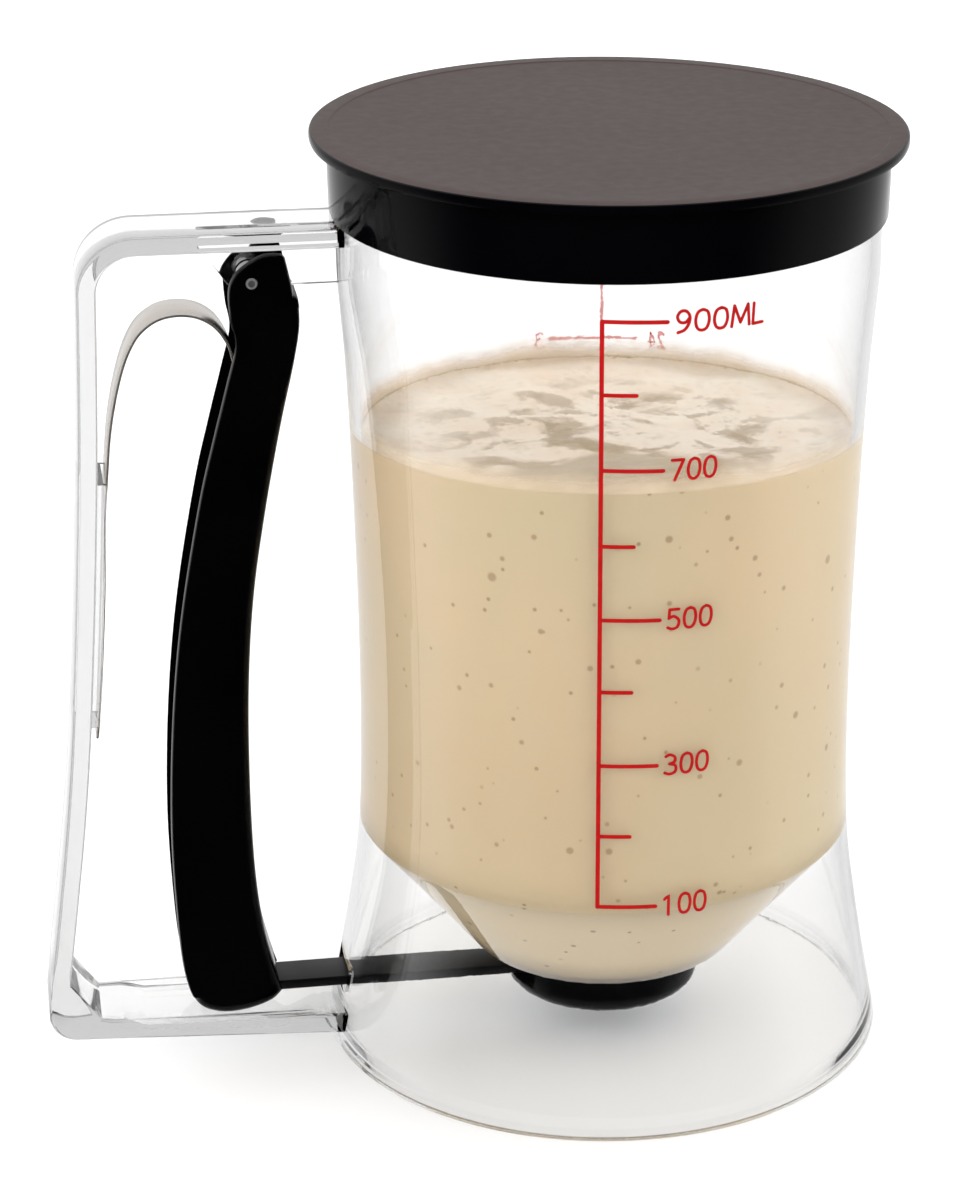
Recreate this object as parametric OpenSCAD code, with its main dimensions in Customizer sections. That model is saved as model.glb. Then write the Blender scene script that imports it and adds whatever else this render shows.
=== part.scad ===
// Batter dispenser: a clear hourglass measuring jug on its own flared stand,
// a push-on lid, and a sprung squeeze trigger that draws a flat gate off the
// outlet under the funnel.
// Frame: Z up, origin on the jug axis at table level, handle towards -X.
// Handle outlines are written as [u, z], where u is the distance out from the
// jug axis along the handle (x = -u).

/* [Jug] */
// Wall thickness of the clear moulding
wall = 2.0; // [1.6:0.1:2.4]
// Outside radius of the foot at the table
foot_r = 55.4; // [54.6:0.1:56.2]
// Outside radius of the straight rim band under the lid
rim_r = 51.0; // [50.6:0.1:51.0]
// Height of the rim
rim_z = 181.0; // [181:1:184]
// Height where the funnel wall joins the cup
funnel_z = 47.0; // [46:0.5:48]
// Underside of the funnel floor
floor_z = 17.2; // [17.2:0.1:17.6]
// Radius of the outlet hole
outlet_r = 5.0; // [4:0.5:5]

/* [Handle] */
// Width of the grip bar and top arm
handle_w = 16.4; // [15:0.2:18]
// Width of the lower arm where it meets the stand
arm_root_w = 22.0; // [18:0.5:24]
// Thickness of the top arm and grip bar
bar_t = 3.6; // [3.2:0.1:3.8]
// Thickness of the pivot rib under the top arm
rib_t = 2.0; // [1.6:0.2:3]
// Depth of the channel in the lower arm, under the trigger's foot
channel_d = 1.4; // [1.2:0.1:2]

/* [Trigger] */
// Overall width of the trigger
trig_w = 15.0; // [14:0.5:15]
// Thickness of each cheek
cheek_t = 1.5; // [1.2:0.1:1.7]
// Thickness of the front web
web_t = 1.8; // [1.4:0.1:2.2]
// Radius of the steel hinge pin
pin_r = 1.1; // [1:0.05:1.25]
// Running clearance around the hinge pin
pin_gap = 0.06; // [0.03:0.01:0.1]
// Radius of the drive pin in the trigger foot
drive_r = 1.25; // [1:0.05:1.4]

/* [Gate] */
// Width of the gate strip
gate_w = 8.4; // [7:0.2:9]
// Thickness of the gate strip
gate_t = 2.0; // [1.8:0.1:2.0]
// Width of the rounded end that covers the outlet
paddle_w = 12.4; // [12:0.2:12.6]

/* [Spring] */
// Width of the leaf spring
spring_w = 10.4; // [9:0.2:10.6]
// Thickness of the leaf spring
spring_t = 0.5; // [0.4:0.05:0.6]

/* [Collar] */
// Outside radius of the twist collar
collar_r = 19.2; // [18.6:0.1:19.6]
// Radius of the nozzle hole in the collar floor
nozzle_r = 6.5; // [5.5:0.1:7]

/* [Lid] */
// Radius of the lid disc
lid_r = 55.5; // [54.5:0.1:56.5]
// Thickness of the lid disc
lid_t = 2.05; // [1.8:0.05:2.4]
// Depth of the skirt below the disc
skirt_h = 13.0; // [11:0.5:13]
// Radial gap between the skirt and the rim band
lid_gap = 0.3; // [0.2:0.05:0.4]

/* [Hidden] */
$fn = 96;

clear_c = [0.90, 0.92, 0.93, 0.45];
black_c = [0.07, 0.07, 0.07];
lid_c = [0.36, 0.33, 0.32];
steel_c = [0.72, 0.70, 0.68];

// smooth curve through a few round control points
function cr(a, b, c, d, t) = 0.5 * (2 * b + (c - a) * t
    + (2 * a - 5 * b + 4 * c - d) * t * t + (3 * b - a - 3 * c + d) * t * t * t);
function smooth(P, n) = concat(
    [for (i = [0 : len(P) - 2]) for (k = [0 : n - 1])
        cr(P[max(i - 1, 0)], P[i], P[i + 1], P[min(i + 2, len(P) - 1)], k / n)],
    [P[len(P) - 1]]);
function rev(P) = [for (i = [len(P) - 1 : -1 : 0]) P[i]];
function shift(P, d) = [for (p = P) p + d];

// outside of the jug: [radius, height], an hourglass with its waist at 1/3
waist_z = 66;
outer_ctl = [[foot_r, 0], [52.9, 13], [50.7, 26], [49.0, 38], [48.2, 50],
             [47.9, waist_z], [48.0, 86], [48.4, 104], [48.9, 121],
             [49.6, 138], [50.4, 149], [rim_r, 158]];
outer = concat(smooth(outer_ctl, 2), [[rim_r, rim_z]]);
ztab = [for (p = outer) [p[1], p[0]]];
function Ro(z) = lookup(z, ztab);
function zs(z0, z1) = concat([z0], [for (p = outer) if (p[1] > z0 + 0.01 && p[1] < z1 - 0.01) p[1]], [z1]);
stand_z = funnel_z - 4;

// hinge pin and drive pin, [u, z]
P = [67.4, 157.8];
D = [72.5, 14.5];
swing = 8;
lift = (D[1] - P[1]) * (cos(swing) - 1) + (D[0] - P[0]) * sin(swing);

// valve stack, from the funnel floor down
gate_top = 12.8;
gate_bot = gate_top - gate_t;
seal_bot = 13.0;
seal_top = 15.0;
seal_r = 11.9;
neck_r = 15.0;
bore_r = 15.3;
cfloor_top = gate_bot - 0.3;
collar_bot = 7.6;
collar_top = 16.9;
twist = 15;

// [u, z] outline to a solid of width w centred on the handle plane
module side(pts, w) {
    rotate([90, 0, 0]) linear_extrude(height = w, center = true)
        polygon([for (p = pts) [-p[0], p[1]]]);
}
module cross_pin(c, r, w) {
    translate([-c[0], 0, c[1]]) rotate([90, 0, 0])
        cylinder(r = r, h = w, center = true, $fn = 48);
}
module jug_outside() {
    rotate_extrude() polygon(concat([[0, -1], [foot_r, -1]],
        outer, [[0, rim_z]]));
}

// ---- clear moulding -------------------------------------------------
module cup_wall() {
    h = zs(funnel_z, rim_z);
    color(clear_c) rotate_extrude() polygon(concat(
        [for (z = h) [Ro(z) - (z == rim_z ? 0.5 : 0), z]],
        rev([for (z = h) [Ro(z) - wall, z]])));
}
cone_m = 0.795;
function cone_r(z) = 25.8 + cone_m * (z - 18);
module funnel() {
    in_off = wall * sqrt(1 + cone_m * cone_m);
    color(clear_c) rotate_extrude() polygon([
        [Ro(stand_z), stand_z], [Ro(funnel_z), funnel_z],
        [Ro(funnel_z) - wall, funnel_z],
        [cone_r(floor_z + wall) - in_off, floor_z + wall],
        [outlet_r + 0.4, floor_z + wall], [outlet_r + 0.4, floor_z],
        [cone_r(floor_z), floor_z], [cone_r(stand_z), stand_z]]);
}
module stand_skirt() {
    h = zs(0, stand_z);
    color(clear_c) difference() {
        rotate_extrude() polygon(concat(
            [for (z = h) [Ro(z), z]],
            rev([for (z = h) if (z > 4) [Ro(z) - wall, z]]),
            [[52.6, 4], [52.6, 0]]));
        // slot for the gate strip
        translate([-62, -paddle_w / 2 - 0.5, gate_bot - 1])
            cube([20, paddle_w + 1, 5.6]);
    }
}
module outlet_neck() {
    color(clear_c) difference() {
        union() {
            translate([0, 0, 13.4]) cylinder(r = neck_r, h = floor_z - 13.4);
            // two bayonet lugs
            for (a = [90, 270]) rotate([0, 0, a]) intersection() {
                translate([0, 0, 14.0]) cylinder(r = neck_r + 1.8, h = 1.4);
                translate([0, -2.2, 13.5]) cube([20, 4.4, 3]);
            }
        }
        translate([0, 0, 13]) cylinder(r = outlet_r + 0.2, h = 6);
        translate([0, 0, 12]) cylinder(r = seal_r, h = seal_top - 12);
    }
}
module seal_ring() {
    color([0.93, 0.93, 0.91]) difference() {
        translate([0, 0, seal_bot]) cylinder(r = seal_r, h = seal_top - seal_bot);
        translate([0, 0, 12]) cylinder(r = outlet_r, h = 4);
    }
}

// ---- handle ----------------------------------------------------------
arm_top = 167.5;
arm_bot = arm_top - bar_t;
cr_c = [88.4, 156.7];          // centre of the upper corner
cr_r = arm_top - cr_c[1];
grip_ctl = [[cr_c[0] + cr_r, cr_c[1]], [99.5, 146], [100.2, 127], [101.3, 107],
            [102.7, 86], [104.2, 67], [106.0, 50], [108.2, 33], [110.0, 20],
            [111.0, 12.6]];
grip = smooth(grip_ctl, 2);
foot_c = [105.9, 10.4];        // centre of the lower corner
arm_in = [105.9, 9.4];         // top inner end of the lower arm
function arc(c, r, a0, a1, n) = [for (i = [0 : n]) let (a = a0 + (a1 - a0) * i / n) c + r * [cos(a), sin(a)]];

module handle_top_arm() {
    color(clear_c) difference() {
        side([[45, arm_bot], [cr_c[0], arm_bot], [cr_c[0], arm_top], [45, arm_top]], handle_w);
        jug_outside();
    }
}
module handle_grip_bar() {
    inner = concat(
        arc(cr_c, cr_r - bar_t, 90, 0, 8),
        [for (p = grip) if (p[1] < cr_c[1] - 0.1 && p[1] > 16.9) p - [bar_t, 0]],
        [[grip[len(grip) - 1][0] - bar_t, 12.6], [foot_c[0], 9.4], [foot_c[0], 5.1]]);
    outside = concat(
        arc(foot_c, 5.3, -90, 8, 7), rev(grip), arc(cr_c, cr_r, 8, 90, 8));
    color(clear_c) side(concat(outside, inner), handle_w);
}
module handle_lower_arm() {
    // a shallow channel in the top keeps the foot of the trigger clear
    function channel(u) = 7.6 + 1.8 * (u - 45) / 60.9 - channel_d;
    color(clear_c) difference() {
        intersection() {
            side([[45, 3.3], [foot_c[0], 5.1], [foot_c[0], 9.4], [45, 7.6]], 40);
            translate([0, 0, -1]) linear_extrude(height = 20)
                polygon([[-foot_c[0], -handle_w / 2], [-foot_c[0], handle_w / 2],
                         [-50, arm_root_w / 2], [-50, -arm_root_w / 2]]);
        }
        jug_outside();
        side([[64, channel(64)], [92, channel(92)], [92, 14], [64, 14]], trig_w + 1.2);
    }
}
module handle_gusset() {
    // diagonal brace in the lower inner corner
    g = [grip[len(grip) - 1][0] - bar_t, 12.6];
    color(clear_c) difference() {
        side([[101.0, 8.9], [foot_c[0] + 1, 9.0], [109.0, 17.4], [106.6, 17.4]], handle_w);
        handle_grip_bar();
        handle_lower_arm();
    }
}
module pivot_rib() {
    color(clear_c) difference() {
        union() {
            side([[45, arm_bot], [45, 155.3], [71.0, 155.3], [76.6, arm_bot]], rib_t);
            cross_pin(P, 2.5, trig_w - 2 * cheek_t - 0.6);
        }
        jug_outside();
        cross_pin(P, pin_r, 30);
    }
}
module spring_guide() {
    // low pad with two rails that keep the long leg of the spring in line
    lo = 71; hi = 120;
    b = [for (p = grip) if (p[1] < hi && p[1] > lo) p - [bar_t, 0]];
    function gu(z) = lookup(z, [for (p = rev(grip)) [p[1], p[0]]]) - bar_t;
    base = concat([[gu(hi), hi]], b, [[gu(lo), lo]]);
    color(clear_c) union() {
        side(concat(base, rev(shift(base, [-1.2, 0]))), spring_w + 2.6);
        for (s = [-1, 1]) translate([0, s * (spring_w / 2 + 0.75), 0])
            side(concat(base, rev(shift(base, [-1.7, 0]))), 1.1);
    }
}

// ---- steel -----------------------------------------------------------
module hinge_pin() {
    color(steel_c) cross_pin(P, pin_r, trig_w);
}
spring_ctl = [[65.6, 129.0], [67.2, 132.6], [69.2, 137.0], [70.7, 141.2],
              [71.8, 145.4], [74.0, 148.9], [77.2, 151.0], [81.0, 151.6],
              [84.8, 150.8], [88.0, 148.4], [90.1, 145.0], [91.6, 141.0],
              [93.0, 135.6], [94.2, 129.0], [95.1, 120.5], [95.8, 112.6],
              [96.6, 97.0], [97.9, 80.0], [99.1, 67.5]];
module leaf_spring() {
    c = smooth(spring_ctl, 3);
    n = len(c) - 1;
    function nrm(i) = let (d = c[min(i + 1, n)] - c[max(i - 1, 0)]) [-d[1], d[0]] / norm(d);
    a = [for (i = [0 : n]) c[i] + nrm(i) * spring_t / 2];
    b = [for (i = [n : -1 : 0]) c[i] - nrm(i) * spring_t / 2];
    color(steel_c) side(concat(a, b), spring_w);
}

// ---- trigger ---------------------------------------------------------
back_ctl = [[61.4, 163.0], [65.0, 163.0], [68.2, 161.4], [70.6, 159.2],
            [71.7, 156.2], [71.5, 151.0], [70.8, 145.5], [72.6, 138.0],
            [75.4, 127.4], [78.2, 116.0], [81.8, 97.0], [84.0, 81.0],
            [85.4, 64.0], [86.0, 47.0], [85.6, 31.0], [84.6, 18.0],
            [82.3, 10.6], [77.8, 8.0], [72.2, 8.2], [67.5, 9.8], [65.2, 12.0]];
front_ctl = [[65.2, 12.0], [66.8, 17.6], [68.6, 26.0], [69.9, 38.0],
             [70.4, 55.0], [70.1, 76.0], [68.7, 95.0], [66.1, 112.0],
             [62.8, 129.0], [60.1, 141.0], [58.7, 149.0], [58.9, 154.7]];
module trigger_lever() {
    back = smooth(back_ctl, 2);
    front = smooth(front_ctl, 2);
    web = [for (p = front) if (p[1] > 15.5) p + [web_t, 0]];
    cavity = concat([[40, 175], [40, 154.7], [58.9 + web_t, 154.7]],
        rev([for (p = web) if (p[1] < 154) p]),
        [[66.3 + web_t, 15.5], [40, 15.5], [40, 0], [110, 0], [110, 175]]);
    color(black_c) difference() {
        side(concat(back, [for (i = [1 : len(front) - 1]) front[i]], [[59.9, 157.0]]), trig_w);
        side(cavity, trig_w - 2 * cheek_t);
        cross_pin(P, pin_r + pin_gap, 30);
        cross_pin(D, drive_r, 30);
    }
}
module drive_pin() {
    color(black_c) cross_pin(D, drive_r, trig_w - 0.2);
}

// ---- gate ------------------------------------------------------------
module gate_blade() {
    color(black_c) union() {
        translate([-75.6, -gate_w / 2, gate_bot]) cube([75.6, gate_w, gate_t]);
        translate([-14, -paddle_w / 2, gate_bot]) cube([15.8, paddle_w, gate_t]);
        translate([1.8, 0, gate_bot]) cylinder(r = paddle_w / 2, h = gate_t);
    }
}
module gate_eye() {
    // upright eye on the strip, slotted for the rise of the drive pin
    e = drive_r + 0.09;
    color(black_c) difference() {
        side([[69.4, gate_top], [75.6, gate_top], [75.6, D[1] + lift + 0.8],
              [74.2, D[1] + lift + 2.3], [70.9, D[1] + lift + 2.3], [69.4, D[1] + lift + 0.8]], gate_w);
        side([[D[0] - e, D[1]], [D[0] + e, D[1]], [D[0] + e, D[1] + lift], [D[0] - e, D[1] + lift]], 20);
        cross_pin(D, e, 20);
        cross_pin(D + [0, lift], e, 20);
    }
}
module valve_collar() {
    lug_r = neck_r + 2.1;
    color(black_c) difference() {
        translate([0, 0, collar_bot]) cylinder(r = collar_r, h = collar_top - collar_bot);
        translate([0, 0, cfloor_top]) cylinder(r = bore_r, h = 10);
        translate([0, 0, collar_bot - 1]) cylinder(r = nozzle_r, h = 6);
        // notch that lets the gate out towards the trigger
        translate([-30, -11.2, cfloor_top]) cube([30, 22.4, 10]);
        // bayonet grooves: a turn for the lock, then straight up and out
        for (a = [90, 270]) {
            rotate([0, 0, a]) intersection() {
                translate([0, 0, 13.7]) cylinder(r = lug_r, h = 2.0);
                linear_extrude(height = 30) polygon([[0, 0],
                    20 / cos(9.5) * [cos(-9.5 - twist), sin(-9.5 - twist)],
                    22 * [cos(-twist / 2), sin(-twist / 2)],
                    20 / cos(9.5) * [cos(9.5), sin(9.5)]]);
            }
            rotate([0, 0, a - twist]) intersection() {
                translate([0, 0, 13.7]) cylinder(r = lug_r, h = 10);
                translate([0, -2.8, 13]) cube([20, 5.6, 10]);
            }
        }
    }
}

// ---- lid -------------------------------------------------------------
module lid_disc() {
    color(lid_c) difference() {
        rotate_extrude() polygon([[0, rim_z], [lid_r - 0.7, rim_z], [lid_r, rim_z + 0.6],
            [lid_r, rim_z + lid_t - 0.35], [lid_r - 0.35, rim_z + lid_t],
            [52.0, rim_z + lid_t], [51.9, rim_z + lid_t - 0.15], [0, rim_z + lid_t - 0.15]]);
    }
}
module lid_skirt() {
    color(black_c) rotate_extrude() polygon([
        [rim_r + lid_gap, rim_z], [rim_r + lid_gap, rim_z - skirt_h],
        [52.1, rim_z - skirt_h], [52.4, rim_z]]);
}

cup_wall();
funnel();
stand_skirt();
outlet_neck();
seal_ring();
handle_top_arm();
handle_grip_bar();
handle_lower_arm();
handle_gusset();
pivot_rib();
spring_guide();
hinge_pin();
leaf_spring();
trigger_lever();
drive_pin();
gate_blade();
gate_eye();
valve_collar();
lid_disc();
lid_skirt();
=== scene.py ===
import math
import random

import bmesh
import bpy
import numpy as np
from mathutils import Matrix, Vector


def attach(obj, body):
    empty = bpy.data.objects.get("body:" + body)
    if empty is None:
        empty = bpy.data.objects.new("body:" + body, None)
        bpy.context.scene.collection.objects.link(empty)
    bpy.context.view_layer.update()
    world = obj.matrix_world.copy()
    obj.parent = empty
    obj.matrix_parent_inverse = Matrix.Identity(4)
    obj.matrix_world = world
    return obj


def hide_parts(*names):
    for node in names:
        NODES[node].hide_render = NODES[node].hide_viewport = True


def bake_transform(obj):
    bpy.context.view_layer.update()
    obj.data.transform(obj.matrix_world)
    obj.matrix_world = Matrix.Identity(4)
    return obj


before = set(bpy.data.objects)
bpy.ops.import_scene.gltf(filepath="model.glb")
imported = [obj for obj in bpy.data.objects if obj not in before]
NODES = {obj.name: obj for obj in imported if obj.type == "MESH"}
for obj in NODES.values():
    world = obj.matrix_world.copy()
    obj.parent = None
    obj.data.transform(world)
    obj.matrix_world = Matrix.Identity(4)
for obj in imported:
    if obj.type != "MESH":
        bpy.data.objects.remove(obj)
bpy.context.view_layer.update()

# Lengths below are in millimetres until a mesh is finished. Handle outlines are
# [u, z] with u measured out from the jug's axis, so x = -u.


# ---------------------------------------------------------------- curves ----
def cr(a, b, c, d, t):
    a, b, c, d = (np.array(v, float) for v in (a, b, c, d))
    return 0.5 * (2 * b + (c - a) * t + (2 * a - 5 * b + 4 * c - d) * t * t
                  + (3 * b - a - 3 * c + d) * t ** 3)


def smooth(P, n):
    out = []
    for i in range(len(P) - 1):
        q = (P[max(i - 1, 0)], P[i], P[i + 1], P[min(i + 2, len(P) - 1)])
        out += [cr(*q, k / n) for k in range(n)]
    return np.array(out + [np.array(P[-1], float)])


def arc(c, r, a0, a1, n):
    a = np.radians(np.linspace(a0, a1, n + 1))
    return np.stack([c[0] + r * np.cos(a), c[1] + r * np.sin(a)], 1)


def bez(a, b, c, n):
    t = np.linspace(0, 1, n + 1)[:, None]
    a, b, c = (np.array(v, float) for v in (a, b, c))
    return a * (1 - t) ** 2 + 2 * b * t * (1 - t) + c * t * t


def rounded(P, r, n=4):
    """Closed outline with each corner turned into a small curve of about r."""
    P = [np.array(p[:2], float) for p in P]
    rr = [r] * len(P) if np.isscalar(r) else list(r)
    out = []
    for i, p in enumerate(P):
        a, b = P[i - 1] - p, P[(i + 1) % len(P)] - p
        la, lb = np.linalg.norm(a), np.linalg.norm(b)
        d = min(rr[i], la * 0.45, lb * 0.45)
        if d <= 0:
            out.append(p)
            continue
        out += list(bez(p + a / la * d, p, p + b / lb * d, n))
    return np.array(out)


def clean(P, eps=1e-4):
    out = [P[0]]
    for p in P[1:]:
        if np.linalg.norm(np.array(p) - np.array(out[-1])) > eps:
            out.append(p)
    if np.linalg.norm(np.array(out[0]) - np.array(out[-1])) < eps:
        out.pop()
    return np.array(out)


def inset(P, d):
    """Closed outline moved inwards by d, mitred."""
    P = np.array(P, float)
    area = 0.5 * np.sum(P[:, 0] * np.roll(P[:, 1], -1) - np.roll(P[:, 0], -1) * P[:, 1])
    s = 1.0 if area > 0 else -1.0
    e = np.roll(P, -1, 0) - P
    e /= np.linalg.norm(e, axis=1)[:, None]
    n1 = np.stack([-e[:, 1], e[:, 0]], 1) * s
    n0 = np.roll(n1, 1, 0)
    m = n0 + n1
    m /= np.maximum(np.linalg.norm(m, axis=1)[:, None], 1e-6)
    k = 1.0 / np.maximum((m * n1).sum(1), 0.5)
    return P + m * (d * k)[:, None]


# ---------------------------------------------------------------- meshes ----
def make(name, verts, faces):
    me = bpy.data.meshes.new(name)
    me.from_pydata([tuple(map(float, v)) for v in verts], [], [tuple(f) for f in faces])
    me.validate()
    o = bpy.data.objects.new(name, me)
    bpy.context.scene.collection.objects.link(o)
    bm = bmesh.new()
    bm.from_mesh(me)
    bmesh.ops.recalc_face_normals(bm, faces=bm.faces)
    bm.to_mesh(me)
    bm.free()
    return o


def lathe(name, prof, n=192, closed=True, phase=0.0):
    prof = [(float(r), float(z)) for r, z in prof]
    verts, rings = [], []
    for r, z in prof:
        if r < 1e-6:
            verts.append((0, 0, z))
            rings.append([len(verts) - 1] * n)
        else:
            i0 = len(verts)
            for k in range(n):
                a = 2 * math.pi * (k + phase) / n
                verts.append((r * math.cos(a), r * math.sin(a), z))
            rings.append(list(range(i0, i0 + n)))
    faces = []
    m = len(rings)
    for i in range(m if closed else m - 1):
        A, B = rings[i], rings[(i + 1) % m]
        for k in range(n):
            k2 = (k + 1) % n
            q = []
            for v in (A[k], A[k2], B[k2], B[k]):
                if v not in q:
                    q.append(v)
            if len(q) > 2:
                faces.append(q)
    return make(name, verts, faces)


def slab(name, outline, y0, y1, r=0.4, k=3, share=None):
    """Outline [u, z] given a width along Y, with its long edges rounded by r.
    share, if given, says how much of r each outline point is drawn in."""
    P = clean(outline)
    part = np.array([share(p) for p in P]) if share else np.ones(len(P))
    loops = []
    steps = [(r * (1 - math.sin(a)), r * (1 - math.cos(a))) for a in
             [math.pi / 2 * i / k for i in range(k + 1)]] if r > 0 else [(0, 0)]
    # (inset, distance in from the face)
    seq = [(i, y0 + j) for i, j in steps] + [(i, y1 - j) for i, j in reversed(steps)]
    verts = []
    for d, y in seq:
        Q = inset(P, d) if d > 1e-6 else P
        Q = P + (Q - P) * part[:, None]
        loops.append(list(range(len(verts), len(verts) + len(P))))
        verts += [(-q[0], y, q[1]) for q in Q]
    faces = []
    n = len(P)
    for a, b in zip(loops[:-1], loops[1:]):
        faces += [(a[i], a[(i + 1) % n], b[(i + 1) % n], b[i]) for i in range(n)]
    faces += [tuple(loops[0]), tuple(reversed(loops[-1]))]
    return make(name, verts, faces)


def plan(name, outline, z0, z1, r=0.3, k=3):
    """Outline [x, y] given a height, with rounded top and bottom edges."""
    P = clean(outline)
    steps = [(r * (1 - math.sin(a)), r * (1 - math.cos(a))) for a in
             [math.pi / 2 * i / k for i in range(k + 1)]] if r > 0 else [(0, 0)]
    seq = [(i, z0 + j) for i, j in steps] + [(i, z1 - j) for i, j in reversed(steps)]
    verts, loops = [], []
    for d, z in seq:
        Q = inset(P, d) if d > 1e-6 else P
        loops.append(list(range(len(verts), len(verts) + len(P))))
        verts += [(q[0], q[1], z) for q in Q]
    n = len(P)
    faces = []
    for a, b in zip(loops[:-1], loops[1:]):
        faces += [(a[i], a[(i + 1) % n], b[(i + 1) % n], b[i]) for i in range(n)]
    faces += [tuple(loops[0]), tuple(reversed(loops[-1]))]
    return make(name, verts, faces)


def ribbon(name, O, I, W, r=0.6, k=4):
    """Bar swept between an outer and an inner path, W its half width at each station."""
    verts, rings = [], []
    for o, i, w in zip(O, I, W):
        o, i = np.array(o, float), np.array(i, float)
        t = np.linalg.norm(o - i)
        n = (o - i) / t
        c = (o + i) / 2
        rr = min(r, t / 2 - 1e-3)
        ring = []
        for sx, sy, a0 in ((1, 1, 0), (-1, 1, 90), (-1, -1, 180), (1, -1, 270)):
            for j in range(k + 1):
                a = math.radians(a0 + 90 * j / k)
                p = sx * (t / 2 - rr) + rr * math.cos(a)
                q = sy * (w - rr) + rr * math.sin(a)
                uv = c + n * p
                ring.append((-uv[0], q, uv[1]))
        rings.append(list(range(len(verts), len(verts) + len(ring))))
        verts += ring
    faces = []
    m = len(rings[0])
    for A, B in zip(rings[:-1], rings[1:]):
        faces += [(A[j], A[(j + 1) % m], B[(j + 1) % m], B[j]) for j in range(m)]
    faces += [tuple(rings[0]), tuple(reversed(rings[-1]))]
    return make(name, verts, faces)


def cross_cyl(name, c, r, w, n=48, bev=0.0):
    pts = [(r, -w / 2 + bev), (r, w / 2 - bev)]
    if bev > 0:
        pts = [(r - bev, -w / 2)] + pts + [(r - bev, w / 2)]
    pts = [(0, -w / 2)] + pts + [(0, w / 2)]
    o = lathe(name, pts, n, closed=False)
    o.data.transform(Matrix.Translation((-c[0], 0, c[1])) @ Matrix.Rotation(math.pi / 2, 4, "X"))
    return o


def volume(me):
    bm = bmesh.new()
    bm.from_mesh(me)
    v = bm.calc_volume(signed=True)
    bm.free()
    return v


def boolean(o, tools, op):
    """o joined with, or cut by, each tool in turn; the tools are removed.

    Each step is measured, and a tool whose faces fall exactly on another face
    is shifted by a few micrometres and tried again."""
    for t in tools:
        v0, vt = volume(o.data), volume(t.data)
        lo, hi = {"UNION": (max(v0, vt) - 0.5, v0 + vt + 0.5), "DIFFERENCE": (v0 - vt - 0.5, v0 + 0.5),
                  "INTERSECT": (1e-3, min(v0, vt) + 0.5)}[op]
        for k in range(6):
            m = o.modifiers.new("cut", "BOOLEAN")
            m.operation, m.object, m.solver = op, t, "EXACT"
            dg = bpy.context.evaluated_depsgraph_get()
            me = bpy.data.meshes.new_from_object(o.evaluated_get(dg))
            o.modifiers.clear()
            if lo <= volume(me) <= hi and len(me.polygons):
                break
            t.data.transform(Matrix.Translation((0.0031, 0.0023, -0.0017)))
        else:
            print("boolean gave no sound result", o.name, t.name)
        o.data = me
        me.name = o.name
        bpy.data.objects.remove(t)
    return o


def tidy(o, merge=0.002):
    bm = bmesh.new()
    bm.from_mesh(o.data)
    bmesh.ops.remove_doubles(bm, verts=bm.verts, dist=merge)
    bmesh.ops.dissolve_degenerate(bm, edges=bm.edges, dist=1e-4)
    loose = [v for v in bm.verts if not v.link_faces]
    bmesh.ops.delete(bm, geom=loose, context="VERTS")
    bmesh.ops.recalc_face_normals(bm, faces=bm.faces)
    bad = sum(1 for e in bm.edges if not e.is_manifold)
    bm.to_mesh(o.data)
    bm.free()
    if bad:
        print("open edges", o.name, bad)
    return o


def finish_mesh(o, mats, angle=32, body=None, nodes=()):
    """Millimetres to metres, smooth shading with sharp edges kept, materials, body."""
    me = o.data
    me.transform(Matrix.Scale(0.001, 4))
    me.polygons.foreach_set("use_smooth", [True] * len(me.polygons))
    me.set_sharp_from_angle(angle=math.radians(angle))
    for m in mats if isinstance(mats, (list, tuple)) else [mats]:
        me.materials.append(m)
    if body:
        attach(o, body)
    if nodes:
        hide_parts(*nodes)
    return o


# ------------------------------------------------------------- materials ----
def srgb(r, g, b):
    return tuple((c / 255 / 12.92) if c / 255 <= 0.04045 else ((c / 255 + 0.055) / 1.055) ** 2.4
                 for c in (r, g, b)) + (1.0,)


def material(name):
    m = bpy.data.materials.new(name)
    m.use_nodes = True
    nt = m.node_tree
    nt.nodes.clear()
    out = nt.nodes.new("ShaderNodeOutputMaterial")
    p = nt.nodes.new("ShaderNodeBsdfPrincipled")
    nt.links.new(p.outputs[0], out.inputs[0])
    return m, nt, p, out


def node(nt, kind, **kw):
    n = nt.nodes.new(kind)
    for k, v in kw.items():
        setattr(n, k, v)
    return n


def coords(nt, scale=(1, 1, 1)):
    tc = node(nt, "ShaderNodeTexCoord")
    mp = node(nt, "ShaderNodeMapping")
    mp.inputs["Scale"].default_value = scale
    nt.links.new(tc.outputs["Object"], mp.inputs["Vector"])
    return mp.outputs[0]


def noise(nt, vec, scale, detail=3.0, rough=0.5, distortion=0.0):
    n = node(nt, "ShaderNodeTexNoise")
    n.inputs["Scale"].default_value = scale
    n.inputs["Detail"].default_value = detail
    n.inputs["Roughness"].default_value = rough
    n.inputs["Distortion"].default_value = distortion
    nt.links.new(vec, n.inputs["Vector"])
    return n.outputs["Fac"]


def remap(nt, fac, a, b, lo=0.3, hi=0.7, kind="LINEAR"):
    n = node(nt, "ShaderNodeMapRange", interpolation_type=kind)
    n.inputs["From Min"].default_value = lo
    n.inputs["From Max"].default_value = hi
    n.inputs["To Min"].default_value = a
    n.inputs["To Max"].default_value = b
    nt.links.new(fac, n.inputs["Value"])
    return n.outputs["Result"]


def mixc(nt, fac, a, b, blend="MIX"):
    n = node(nt, "ShaderNodeMix", data_type="RGBA", blend_type=blend)
    for sock, v in ((n.inputs[0], fac), (n.inputs[6], a), (n.inputs[7], b)):
        if isinstance(v, bpy.types.NodeSocket):
            nt.links.new(v, sock)
        else:
            sock.default_value = v
    return n.outputs[2]


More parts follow.
